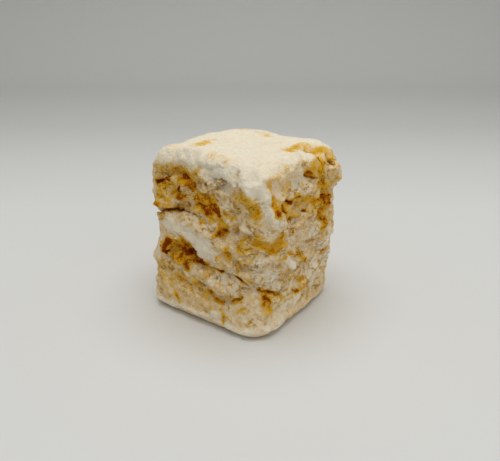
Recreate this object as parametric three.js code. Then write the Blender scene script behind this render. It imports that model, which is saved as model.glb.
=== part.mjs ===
// A hand-cut block of marshmallow with caramel folded through it, made as one soft solid.
// Its faces carry the folds, cracks, pits and lumps that pouring, folding and cutting left in them.
// Millimetres, +Z up. -Y is the front face and +X the right face.
import * as THREE from "three";
import { ImprovedNoise } from "three/addons/math/ImprovedNoise.js";
import { mergeVertices } from "three/addons/utils/BufferGeometryUtils.js";

// Driving dimensions
const HEIGHT = 40;
const WIDTH = 34;
const DEPTH = 33.9;
const EDGE_RADIUS = 6; // the four upright edges
const TOP_RADIUS = 7; // the rim of the top
const BASE_RADIUS = 1.8; // the rim of the base
const CELL = 1.2; // spacing of the surface's points

// The walls aren't upright: how far each one's top stands along +X or +Y from its foot
const LEAN_RIGHT = 2.2;
const LEAN_LEFT = 1;
const LEAN_FRONT = 0.9;
const LEAN_BACK = 0;

// Unevenness of the whole surface: half height and spacing of the swells, and of the crags on them
const SWELL = { height: 0.3, spacing: 13 };
const CRAG = { height: 0.5, spacing: 3.8 };
const SMOOTH_TOP = 0.25; // share of the crags that the smooth top keeps
const FOOT = 4; // height of the lowest stretch, over which the relief grows to its full height
const FOOT_SHARE = 0.25; // share of the relief that is left at the base

const COLOUR = 0xdcc8a0;
const ROUGHNESS = 0.85;

// A point of the surface as two coordinates across each face.
const FACES = {
  front: { normal: new THREE.Vector3(0, -1, 0), across: (p) => [p.x, p.z] },
  right: { normal: new THREE.Vector3(1, 0, 0), across: (p) => [p.y, p.z] },
  back: { normal: new THREE.Vector3(0, 1, 0), across: (p) => [p.x, p.z] },
  left: { normal: new THREE.Vector3(-1, 0, 0), across: (p) => [p.y, p.z] },
  top: { normal: new THREE.Vector3(0, 0, 1), across: (p) => [p.x, p.y] },
};

// Where an upright edge lies across its two faces.
const FRONT_LEFT_EDGE = { front: -15, left: -14.4 };
const BACK_RIGHT_EDGE = { right: 14.4, back: 17 };

// A lump or dent on an upright edge, the same on both faces.
function onEdge(edge, z, halfWidth, height) {
  return Object.entries(edge).map(([face, across]) => [face, [[across, z]], halfWidth, height]);
}

// Strokes: a face, a path across it from the middle of the base, the half width, and the height.
// A negative height is a fold, crack or pit. A path of one point is a round lump or pit.
const STROKES = [
  // The waist, a deep slit that opens at the left edge and runs out towards the right edge
  ["front", [[-17, 23.4], [-13, 25], [-9, 26.2], [-3.8, 27.3]], 1.3, -2.8],
  ["front", [[-3.8, 27], [2.5, 25.5], [8, 24.2], [11.3, 25.2]], 1.2, -1],
  ["left", [[-17, 23.4], [-11, 24.6], [-6, 24], [5, 26.5], [17, 25]], 1.3, -2.2],
  ["back", [[-18, 25], [-7, 27.5], [3, 26], [11, 28.5]], 1.3, -1.5],
  // The layer above the waist hangs over it, and the pale cheek below it stands back at the left edge
  ["front", [[-10, 29.5], [-4, 30]], 2.4, 0.5],
  ...onEdge(FRONT_LEFT_EDGE, 21.5, 2.4, -1.2),
  ...onEdge(FRONT_LEFT_EDGE, 18, 2.4, -1.2),
  ["front", [[-8, 22.5], [0, 21.5], [4.5, 19.5]], 3.2, 0.3],
  // The open caramel pocket under the pale cheek, with two deeper holes
  ["front", [[-7.2, 16.8], [-2.4, 16.6]], 2.4, -1.6],
  ["front", [[-2, 16.9]], 1.4, -1.4],
  ["front", [[-7.4, 16]], 1.4, -1],
  ["front", [[-2.8, 13.8]], 1.3, -0.7],
  // The second fold, from that pocket round the near corner, and the lobe that it leaves below
  ["front", [[-0.5, 15], [1.3, 15.7], [5.9, 14.8], [11.8, 14.3], [17, 12.2]], 1.3, -1.5],
  ["right", [[-17, 12.2], [-11, 11.2], [-9, 10.6], [-6.5, 12.2]], 1.2, -1.2],
  ["front", [[2, 12.3], [9.5, 11.8]], 2.4, 0.5],
  // The third fold, under the lobe
  ["front", [[2, 9.4], [7.4, 8.3], [10.3, 8.7], [13.2, 10.8]], 1.2, -1.1],
  ["front", [[-5, 9.5], [-3, 11.4]], 1.2, -0.6],
  ["front", [[-7.5, 7], [-5.8, 5.6]], 1.2, -0.4],
  ["front", [[5.8, 4.6]], 1.4, 0.8],
  // Caramel pockets and cracks of the upper front
  ["front", [[2.8, 30.2], [5.2, 28.9]], 1.9, -1],
  ["front", [[7.4, 26.9], [7.6, 24.6]], 1.3, -0.8],
  ["front", [[-11.8, 33], [-6.2, 34.5]], 1.2, -0.9],
  ["front", [[-4.9, 32.2], [-7.3, 30]], 1.2, -0.9],
  ["front", [[-4.2, 34.3], [0, 33.1]], 1.2, -0.8],
  ["front", [[0, 32.2], [2.8, 32.7], [5, 32.3]], 1.2, -0.6],
  ["front", [[11.3, 25]], 1.2, -1.3],
  // The mass that has slumped down the near corner, with the fold along its left side
  ["front", [[5.8, 33.8], [9.7, 33], [11.3, 30.6], [12.2, 27.6]], 1.2, -0.9],
  ["front", [[14.5, 34.5], [15.5, 29.5]], 2.4, 1],
  ["right", [[-15, 35], [-14.4, 31.5]], 2, 1.2],
  ["right", [[-14.5, 29.2], [-11.6, 27.4]], 1.9, 1.3],
  // The caramel smear below it, across the near corner
  ["front", [[13, 24.2], [17, 23]], 1.5, -0.8],
  ["right", [[-16, 23], [-11.5, 22.6], [-8, 24.2]], 1.5, -0.8],
  // Lumps and cracks in the middle of the front
  ["front", [[12.2, 20.6]], 2.2, 0.6],
  ["front", [[9, 18]], 1.7, 0.3],
  ["front", [[10.2, 19.7], [12, 17.8]], 1.2, -0.8],
  // The front left edge: a bump and a dent
  ...onEdge(FRONT_LEFT_EDGE, 13.2, 1.6, 0.8),
  ...onEdge(FRONT_LEFT_EDGE, 8.8, 1.5, -2),
  // Two cracks of the right face and the lobe between them
  ["right", [[-9.9, 31.8], [-7.5, 32], [-4.4, 32]], 1.2, -1.5],
  ["right", [[-9, 27], [-5, 27.4], [-1, 27.2]], 1.2, -1.7],
  ["right", [[-10.6, 31.5], [-10.4, 29], [-9, 27.2]], 1.2, -0.9],
  ["right", [[-6.8, 29.7]], 2, 0.5],
  // The caramel knob at the top of the right face and the groove round it
  ["right", [[1.8, 36.8]], 1.9, 1.3],
  ["right", [[-1.6, 36.8], [0.2, 34.7], [2.4, 34.2], [4.2, 35.6], [5, 38]], 1.2, -1.5],
  ["top", [[14.5, 3.5], [17, 6], [18, 10]], 1.2, -0.9],
  // Caramel down the far side of the right face
  ["right", [[5.6, 32], [7.2, 28.5], [6.6, 24.4]], 1.6, -0.8],
  ["right", [[6.6, 23.4]], 1.2, -0.8],
  ["right", [[6.5, 31], [9.5, 30.4]], 1.2, -0.7],
  ["right", [[-6.2, 25]], 1.2, -0.7],
  // The lower right face: a pale lump, a smooth pale band across the corner, and caramel pits
  ["right", [[-5.5, 17]], 1.5, 0.8],
  ["right", [[-3.2, 18.8], [-1.4, 16.8]], 1.2, -0.6],
  ["right", [[10, 18], [5, 11], [-1.5, 3.8]], 1.6, 0.4],
  ["right", [[0.2, 9.7]], 1.2, -0.6],
  ["right", [[-3.2, 8], [-1.8, 7]], 1.2, -0.8],
  ["right", [[-13, 10], [-12.8, 7.6]], 1.5, -0.7],
  ["right", [[0.9, 2.6], [2.4, 4.4]], 1.2, -0.5],
  // The back right edge
  ...onEdge(BACK_RIGHT_EDGE, 30.8, 2, 0.8),
  ...onEdge(BACK_RIGHT_EDGE, 27, 1.3, -0.3),
  ...onEdge(BACK_RIGHT_EDGE, 18, 4, 0.4),
  ...onEdge(BACK_RIGHT_EDGE, 7, 2.4, 0.3),
  // The top: it falls towards the back corner, with a ridge near the front rim and one along the right rim
  ["top", [[-14, 14]], 7, -1.2],
  ["top", [[-12, -2]], 4, 0.5],
  ["top", [[-14, -13]], 4, -1.3],
  ["top", [[17, 13]], 4, -0.7],
  ["top", [[-4, -12.6], [3.5, -10.5], [8, -13]], 1.8, 0.4],
  ["top", [[15.5, -13], [16.5, -6], [16.5, 0]], 1.8, 0.6],
  ["top", [[-3.6, -9.5], [-3.4, -3]], 1.8, -0.4],
  // The two sides that look away: folds that carry on round the block, with pits and lumps between them
  ["left", [[-17, 14.5], [-9, 12], [0, 15], [9, 13], [17, 16]], 1.2, -1.4],
  ["left", [[-8, 33.5], [-2, 32], [5, 33.6]], 1.2, -1],
  ["left", [[-4, 19.8]], 2.2, -1.4],
  ["left", [[8, 21]], 3, 0.6],
  ["left", [[-9, 29.5]], 2.6, 0.4],
  ["left", [[7, 7.5]], 2.4, 0.5],
  ["left", [[-6, 6.5], [-1, 8.2]], 1.2, -0.9],
  ["left", [[10, 30.5], [12, 27.5]], 1.4, -1],
  ["back", [[-17, 16], [-9, 14], [1, 16.5], [10, 14.5], [18, 17]], 1.2, -1.4],
  ["back", [[-11, 33.5], [-5, 34.5], [2, 33]], 1.2, -1],
  ["back", [[6, 21.5]], 2.4, -1.5],
  ["back", [[-8, 20.5]], 3, 0.6],
  ["back", [[-4, 7], [4, 9.5], [10, 7.5]], 1.2, -1.1],
  ["back", [[-11, 8.5]], 2.2, -0.9],
  ["back", [[1, 29.5]], 1.9, -1],
];

// Smooth skins, where the crags fade out: a face, a path across it and the half width
const SMOOTH = [
  ["front", [[-9, 22.5], [0, 21.5], [4, 18.5]], 3.6],
  ["front", [[-8, 3.5], [3, 6.5], [10, 4]], 4],
  ["right", [[10, 18], [5, 11], [-2, 3]], 2.6],
  ["left", [[6, 20]], 4],
  ["back", [[-8, 20.5], [-3, 22]], 4],
];

const noise = new ImprovedNoise();

// How far the leaning walls carry a point of the plain block along X and Y.
function lean(x, y, z) {
  const rise = z / HEIGHT;
  return {
    x: rise * THREE.MathUtils.lerp(LEAN_LEFT, LEAN_RIGHT, x / WIDTH + 0.5),
    y: rise * THREE.MathUtils.lerp(LEAN_FRONT, LEAN_BACK, y / DEPTH + 0.5),
  };
}

// Turns a point of a sharp box into the same point of the block with round rims and round upright edges.
function roundOff(point) {
  const upper = point.z > HEIGHT / 2;
  const radius = upper ? TOP_RADIUS : BASE_RADIUS;
  const end = upper ? HEIGHT : 0;
  const inwards = upper ? -1 : 1;
  let { x, y, z } = point;

  const inset = Math.min(WIDTH / 2 - Math.abs(x), DEPTH / 2 - Math.abs(y));
  const across = Math.max(radius - inset, 0);
  const along = Math.max(radius - Math.abs(end - z), 0);
  let newInset = inset;
  if (across > 0 && along > 0) {
    const shrink = radius / Math.hypot(across, along);
    newInset = radius - across * shrink;
    z = end + inwards * (radius - along * shrink);
    x *= (WIDTH / 2 - newInset) / (WIDTH / 2 - inset);
    y *= (DEPTH / 2 - newInset) / (DEPTH / 2 - inset);
  }

  const edge = Math.max(EDGE_RADIUS - newInset, 0);
  const cornerX = Math.abs(x) - (WIDTH / 2 - newInset - edge);
  const cornerY = Math.abs(y) - (DEPTH / 2 - newInset - edge);
  if (cornerX > 0 && cornerY > 0) {
    const shrink = Math.max(cornerX, cornerY) / Math.hypot(cornerX, cornerY);
    x -= Math.sign(x) * cornerX * (1 - shrink);
    y -= Math.sign(y) * cornerY * (1 - shrink);
  }

  const moved = lean(x, y, z);
  return new THREE.Vector3(x + moved.x, y + moved.y, z);
}

// Distance in a face's plane from a place to the nearest point of a path.
function distanceToPath(place, path) {
  const here = new THREE.Vector2(...place);
  if (path.length === 1) return here.distanceTo(new THREE.Vector2(...path[0]));
  let nearest = Infinity;
  for (let i = 1; i < path.length; i++) {
    const start = new THREE.Vector2(...path[i - 1]);
    const step = new THREE.Vector2(...path[i]).sub(start);
    const share = THREE.MathUtils.clamp(here.clone().sub(start).dot(step) / step.lengthSq(), 0, 1);
    nearest = Math.min(nearest, here.distanceTo(start.addScaledVector(step, share)));
  }
  return nearest;
}

// A stroke's strength at a point of the surface, from 1 on its path to 0 far from it or on another face.
// On a round edge the faces share it by the squares of the normal's parts, which add up to 1.
function strength(point, normal, face, path, halfWidth) {
  const facing = Math.max(FACES[face].normal.dot(normal), 0) ** 2;
  if (facing === 0) return 0;
  const reach = distanceToPath(FACES[face].across(point), path) / halfWidth;
  return facing * Math.exp(-reach * reach);
}

function noiseAt(point, spacing) {
  return noise.noise(point.x / spacing, point.y / spacing, point.z / spacing);
}

// Height of the finished surface over the plain block.
function relief(point, normal) {
  const upwards = Math.max(normal.z, 0) ** 2;
  const downwards = Math.max(-normal.z, 0) ** 2;
  let crags = THREE.MathUtils.lerp(1, SMOOTH_TOP, upwards);
  for (const [face, path, halfWidth] of SMOOTH) crags *= 1 - strength(point, normal, face, path, halfWidth);

  let height = SWELL.height * noiseAt(point, SWELL.spacing);
  height += crags * CRAG.height * noiseAt(point, CRAG.spacing);
  height += (crags * CRAG.height * noiseAt(point, CRAG.spacing / 2)) / 2;
  for (const [face, path, halfWidth, stroke] of STROKES) {
    height += stroke * strength(point, normal, face, path, halfWidth);
  }
  const foot = THREE.MathUtils.smoothstep(point.z, 0, FOOT);
  return height * THREE.MathUtils.lerp(FOOT_SHARE, 1, foot) * (1 - downwards);
}

function marshmallowGeometry() {
  const cells = [WIDTH, DEPTH, HEIGHT].map((length) => Math.round(length / CELL));
  const box = new THREE.BoxGeometry(WIDTH, DEPTH, HEIGHT, ...cells).translate(0, 0, HEIGHT / 2);
  box.deleteAttribute("normal");
  box.deleteAttribute("uv");
  const geometry = mergeVertices(box);
  const position = geometry.getAttribute("position");

  for (let i = 0; i < position.count; i++) {
    const point = roundOff(new THREE.Vector3().fromBufferAttribute(position, i));
    position.setXYZ(i, ...point);
  }
  geometry.computeVertexNormals();
  const normals = geometry.getAttribute("normal");
  for (let i = 0; i < position.count; i++) {
    const point = new THREE.Vector3().fromBufferAttribute(position, i);
    const normal = new THREE.Vector3().fromBufferAttribute(normals, i);
    point.addScaledVector(normal, relief(point, normal));
    point.z = Math.max(point.z, 0);
    position.setXYZ(i, ...point);
  }
  geometry.computeVertexNormals();
  return geometry;
}

// The origin goes under the middle of the finished block, on the surface that it stands on.
function standOnOrigin(geometry) {
  geometry.computeBoundingBox();
  const middle = geometry.boundingBox.getCenter(new THREE.Vector3());
  return geometry.translate(-middle.x, -middle.y, -geometry.boundingBox.min.z);
}

const marshmallow = new THREE.Mesh(
  standOnOrigin(marshmallowGeometry()),
  new THREE.MeshStandardMaterial({ color: COLOUR, roughness: ROUGHNESS, metalness: 0 }),
);
marshmallow.name = "marshmallow";

const part = new THREE.Group();
part.add(marshmallow);

export default part;
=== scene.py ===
"""Looks of a hand-cut block of caramel marshmallow: its crumbly surface, its colours and the sugar on it.

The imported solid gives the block's form. A grid of signed distances takes that form on to finer relief, with
cracks, lips, lumps and crumbs, and the surface of that grid is the piece that shows.
Places are in millimetres from the middle of the block's base, with +Z up, -Y the front and +X the right.
"""
import math

import bpy
import numpy as np
import openvdb
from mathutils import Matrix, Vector


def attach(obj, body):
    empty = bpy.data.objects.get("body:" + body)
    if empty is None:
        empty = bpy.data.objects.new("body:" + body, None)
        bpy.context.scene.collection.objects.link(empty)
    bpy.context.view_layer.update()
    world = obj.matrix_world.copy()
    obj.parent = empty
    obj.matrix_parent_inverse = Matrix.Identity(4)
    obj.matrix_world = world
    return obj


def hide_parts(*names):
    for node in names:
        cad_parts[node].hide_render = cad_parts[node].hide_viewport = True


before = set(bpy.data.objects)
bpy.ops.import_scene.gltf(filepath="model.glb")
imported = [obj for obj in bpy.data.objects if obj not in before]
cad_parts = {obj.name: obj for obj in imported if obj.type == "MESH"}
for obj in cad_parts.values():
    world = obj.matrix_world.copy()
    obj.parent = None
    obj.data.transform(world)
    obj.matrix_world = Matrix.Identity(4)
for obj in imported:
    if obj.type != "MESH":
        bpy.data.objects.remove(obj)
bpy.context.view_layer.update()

MM = 0.001
SEED = 20

# The grid that the surface is cut from. Distances are known as far as the band, in steps, on both sides of it.
STEP = 0.26
MARGIN = 2.4
BAND = 14.0
FACET_BLUR = 0.5
TRIANGLES = 190_000

# The edge round the base
BASE_INSET = 4.0
BASE_ROUND = 1.4
BASE_SIDE_HEIGHT = 3.2
BASE_WAVE = 0.12

# Distances out from the smooth block between which crumbs are made, and how deep strokes are taken into its box
RELIEF_BAND = (-1.3, 2.2)
STROKE_REACH = 8
CRACK_REACH = 6

# Heights over which the smooth top and its front rim come in, and over which crumbs come in above the base
CAP = (32.5, 36)
FRONT_RIM = (33, 35.5)
FOOT_FADE = (0.8, 4.5)

# Shares of facing a face over which relief and paint come in, and of a half width over which paint fades out
RELIEF_FACING = (0.1, 0.5)
PAINT_FACING = (0.2, 0.6)
PAINT_EDGE = (0.35, 1.45)

# Crumbs of three sizes: spacing, height of their domes, and how far they differ in level
LARGE_CRUMBS = ((3.2, 3.2, 2.2), 0.25, 0.35)
MIDDLE_CRUMBS = ((1.5, 1.5, 1.15), 0.32, 0.3)
FINE_CRUMBS = (0.7, 0.18, 0.14)
MEAN_DOME = 0.7

# Share of a spacing that tinted seams between crumbs take, and how deep a full nook and a full dip are
SEAM_WIDTH = 0.16
NOOK = 0.09
DIP = 0.2

# Heights of the other relief
WIDE_FOLD = 0.35
SMALL_FOLD = 0.2
FOLD_TOP = 0.8
FOLD_LEVEL = 0.3
FLAKE = 0.22
PORE = 0.5
WRINKLE = 0.1
FURROW = 0.06
TOP_SWELL = 0.15
GRIT = 0.035
TOP_GRIT = 0.02

# The photograph's camera
VIEW_AZIMUTH = math.radians(37.5)
VIEW_COSINE, VIEW_SINE = math.cos(VIEW_AZIMUTH), math.sin(VIEW_AZIMUTH)
VIEW_ELEVATION = math.radians(22.6)
VIEW_DISTANCE = 146.8
VIEW_AIM_RIGHT = 2.08
VIEW_AIM_HEIGHT = 17.36
FOCAL_LENGTH = 43.2
SENSOR_WIDTH = 36.0

# What a lobe is made of: from white foam to caramel
FOAM = -1.0
PLAIN = 0.0
AMBER = 1.0

# Width of the crease round a lobe
CREASE = 0.12

# How far the layers of the foam lean down towards the near corner
LEAN = 0.25


def on(face, strokes):
    """Strokes of one face. Each row is a half width, a height or strength, and a path, two numbers a point."""
    return [(face, list(zip(path[::2], path[1::2])), size, strength) for size, strength, *path in strokes]


# Paths of the two pale bands across the right face
PALE_BAND = (11, 17.6, 8, 15.2, 5.3, 12.1, 2.4, 8.9, -0.1, 6.2, -2.9, 4.5)
LOWER_BAND = (12.6, 11.6, 9.6, 9.1, 6.1, 7.2, 2.5, 3.9)

# Cracks: half width at the mouth, depth, path
CRACKS = on("front", [
    # the waist, with a hole at its inner end and a thin crease that runs on to a second hole
    (0.24, 1.8, -14.5, 24, -12, 24.4, -9, 25, -6, 25.8, -5, 26.2),
    (0.48, 1.8, -6.2, 25.8, -5, 26.3),
    (0.19, 1, -5, 26.2, -2.3, 26.1, 0.9, 25.4, 4.8, 24.9, 7.6, 23.7, 10.3, 24.2),
    (0.4, 1.3, 9.6, 23.9, 10.6, 24.4),
    # above the waist
    (0.26, 1.3, -12.8, 32.2, -10.2, 32.8, -8.9, 33.1, -7.9, 33.6, -6.6, 34),
    (0.27, 1.2, -4.4, 32.2, -4.9, 31.2, -6.9, 29.8),
    (0.23, 0.9, 5.4, 33.2, 6, 32.8),
    (0.23, 0.9, 8.4, 32.8, 9.2, 32.4),
    (0.25, 0.75, 2.1, 31.5, 2.9, 30.9),
    (0.18, 0.72, -0.1, 31.7, 2.4, 32.1, 5.1, 31.8),
    (0.19, 0.72, 8.8, 32.4, 9.7, 29.7, 11.9, 27.1),
    (0.2, 0.82, 12.4, 31.3, 13.6, 31, 15.1, 31),
    # the second fold, round the near corner, and the third below it
    (0.22, 1.2, -1.7, 13.8, 2.2, 14.8, 5.3, 14.2, 9.8, 14.1, 11.8, 13.8, 15, 12.2),
    (0.4, 0.9, 11.2, 14, 12.4, 13.6),
    (0.2, 1.1, 2.3, 8.3, 5.7, 7.7, 7.3, 7.2, 11.1, 8.6, 13, 9.9),
    (0.22, 0.9, 9.6, 20, 11.5, 18.9, 12.1, 17.6),
]) + on("right", [
    # the second fold, round the near corner
    (0.2, 1.1, -16, 12.3, -14.1, 11.9, -11.1, 10.5, -8.5, 9.7, -6.1, 10.9),
    # the rest of the face
    (0.18, 0.8, -9.4, 31, -7.3, 31.4, -5, 31.2, -3.2, 31.6),
    (0.26, 0.8, -9.4, 31, -8.6, 31.2),
    (0.17, 0.7, -9.4, 30.6, -9.5, 29.5, -8.1, 27.9, -6.9, 26),
    (0.19, 1, -8.7, 24.8, -7, 25.8, -3.4, 26.3, 0.1, 26.1),
    (0.36, 0.98, -4, 26.2, -2.8, 26.4),
    (0.23, 1, 0, 35.5, 1.7, 34, 2.8, 33.5, 4.5, 34.1),
    (0.2, 0.9, 6.2, 36.8, 5.6, 35.2),
    (0.23, 1, 9.8, 37.7, 10.2, 36, 11.4, 34.9, 13, 34.5),
    (0.23, 0.9, 7.4, 28, 9.2, 28.3),
    (0.36, 0.75, 8, 22.4, 8.4, 21.8),
    (0.23, 0.82, -5.6, 25.5, -5.3, 24.6),
    (0.25, 0.68, -1.3, 7.4, -0.7, 7),
    (0.19, 0.72, -7.2, 18.2, -6.9, 17),
]) + on("top", [
    # beside the knob
    (0.23, 0.82, 13.8, 4.6, 15, 5.2, 16.4, 6),
]) + on("left", [
    # the sides that look away
    (0.24, 1.4, -17, 23.2, -11, 24.6, -6, 24),
    (0.22, 1.2, 2, 25.6, 5, 26.5, 10, 26),
    (0.22, 1.2, -14, 13.6, -9, 12, -4, 13.6),
    (0.22, 1.2, 2, 14.8, 9, 13, 13, 14.6),
    (0.23, 1.1, -8, 33.5, -2, 32, 5, 33.6),
    (0.23, 0.9, -6, 6.5, -1, 8.2),
]) + on("back", [
    (0.22, 1.4, -15, 25.6, -7, 27.5),
    (0.22, 1.4, 1, 26.2, 3, 26, 11, 28.5),
    (0.22, 1.2, -14, 15.3, -9, 14, -5, 15),
    (0.22, 1.2, 3, 16, 10, 14.5, 14, 15.6),
    (0.23, 1.1, -11, 33.5, -5, 34.5, 2, 33),
    (0.23, 1, -4, 7, 4, 9.5, 10, 7.5),
])

# Lips, rolls and ridges: half width, height, path
LIPS = on("front", [
    (0.45, 0.5, -3.6, 35, -2, 34.5, 0.3, 33.4),
    (0.5, 0.35, -1.2, 32.3, 2.4, 32.7, 5.1, 32.4),
    (1.8, 0.5, 14.4, 37, 15.2, 35, 15.6, 32.6),
    (1.1, 0.7, -11.6, 27.6, -8, 27.8),
    (0.9, 0.9, -13.5, 24.1, -8.5, 24.3),
    (0.8, 0.6, -12.8, 26, -7.4, 26.4),
    (1, 1, -12.4, 25.8, -8.5, 26.4),
    (1.6, 0.7, -8.6, 17, -6, 15.6, -4.2, 16.2),
    (0.7, 0.6, -12, 2.2, 14, 2.2),
]) + on("right", [
    (0.7, 0.5, -14.4, 34.4, -14, 31.9),
    (0.7, 0.7, -13.9, 22.4, -12.6, 21.3, -10.6, 21, -8.6, 21.6),
    (0.7, 0.6, *PALE_BAND),
    (0.7, 0.35, *LOWER_BAND),
    (1, 0.9, -14, 36.9, -10.5, 37.6, -6, 37.7, -2.4, 37.5, 0.2, 37.9),
    (0.7, 0.5, -14, 2.2, 6, 2.2),
    (2.4, 0.4, -15.5, 2, -10, 1.8, -7, 1.6),
    (2.4, 0.4, -15.5, 2, -8, 1.7, 3, 1.7),
    (1.2, 1, -9.9, 31.8, -7.5, 32, -4.4, 32),
    (1.2, 1.1, -9, 27, -5, 27.4, -1, 27.2),
    (1.1, 0.5, -10.6, 31, -10.4, 29),
    (1.1, 0.6, 0.2, 34.7, 2.4, 34.2, 4.2, 35.6),
]) + on("top", [
    (1.3, 0.6, 15.6, -13.6, 16.7, -12, 16.6, -8.6, 16.5, -4.6, 16.7, -1.2),
    (2.6, 1.5, -10.5, -14, -5, -14.6, 3, -14.8, 9, -14.6),
]) + on("left", [
    (0.8, 0.5, -12.6, 26, -6, 26.2),
    (1.1, 0.4, -14, 27.6, -4, 27.9),
    (0.9, 0.7, -13.5, 24.1, -6, 24.3),
])

# Hollows: half width, height, which is below zero, path
HOLLOWS = on("top", [
    (3.5, -0.8, -14, -9, -13.5, 0, -12.5, 9),
    (4, -0.4, -9, 11.5, 0, 13, 8, 13),
]) + on("front", [
    (0.8, -0.35, -3.2, 33.8, -1, 32.9),
    (0.5, -0.6, 11.4, 37.6, 11.7, 35.6, 12.3, 33.6),
]) + on("right", [
    (1.2, -0.7, -11.5, 35.1, -6.3, 35.1, -1.6, 34.4),
    (0.7, -0.5, -12.6, 35.4, -12.4, 33.6, -12.2, 32.4),
    (0.7, -0.3, 9, 13, 5, 9, 2, 5.6),
    (3.4, -0.5, 13, 2, 14, 6),
    (0.8, -0.5, -14.4, 23.4, -12.4, 22.5, -9.6, 22.7),
])

# Lobes that sit on the surface with a crease round them: face, place, radius, rise, tint
LOBES = [
    # the thick drip over the near corner, and the lump at its lower end
    ("front", 14.4, 36.6, 2.8, 0.6, FOAM),
    ("front", 15.8, 34.8, 2.4, 0.8, FOAM),
    ("right", -14.7, 33.2, 2, 0.7, FOAM),
    ("front", 15.4, 32, 2.4, 0.6, PLAIN),
    ("right", -14, 30.2, 1.9, 0.6, PLAIN),
    ("right", -13, 28.4, 2.1, 1.2, FOAM),
    ("right", -11.8, 26.9, 2.1, 1.2, PLAIN),
    # knob under the right rim, and the golden crumbs behind it
    ("right", 3.2, 35.9, 2.6, 0.8, PLAIN),
    ("right", 7.4, 35.4, 1.6, 0.5, PLAIN),
    ("top", 15.9, 9.6, 2, 0.5, PLAIN),
    ("right", 10.9, 36.4, 1.3, 0.5, PLAIN),
    ("right", 10.4, 33.6, 1.4, 0.5, PLAIN),
    ("right", 11.7, 32, 1.4, 0.5, PLAIN),
    ("right", 9.4, 31.5, 1.2, 0.4, FOAM),
    # caramel pit
    ("front", -6.6, 16.9, 1.1, 0.6, AMBER),
    ("front", -7, 15, 0.9, 0.5, AMBER),
    ("front", -4.4, 18, 1, 0.5, AMBER),
    ("front", -3.2, 13.8, 0.9, 0.5, AMBER),
    # front, below the waist and right of the white patch
    ("front", 13, 21.8, 2, 0.6, PLAIN),
    ("front", 8.8, 19.1, 1.5, 0.6, AMBER),
    ("front", 14.4, 19.2, 1.7, 0.5, PLAIN),
    ("front", 10, 17.2, 1.3, 0.5, PLAIN),
    ("front", 3.6, 13.4, 1.5, 0.5, PLAIN),
    ("front", 7, 12.2, 1.6, 0.5, FOAM),
    ("front", 9.8, 12.4, 1.5, 0.5, PLAIN),
    ("front", 6.6, 4.4, 1.3, 0.7, FOAM),
    ("front", 2.8, 30, 1.2, 0.4, AMBER),
    # right face
    ("right", -6, 16.4, 1.5, 0.7, FOAM),
    ("right", -5.6, 18.3, 1, 0.4, AMBER),
    ("right", -7.5, 29.6, 1.5, 0.35, PLAIN),
    ("right", -4.2, 28.9, 1, 0.4, FOAM),
    ("right", 4.9, 3.2, 1, 0.5, FOAM),
]

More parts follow.
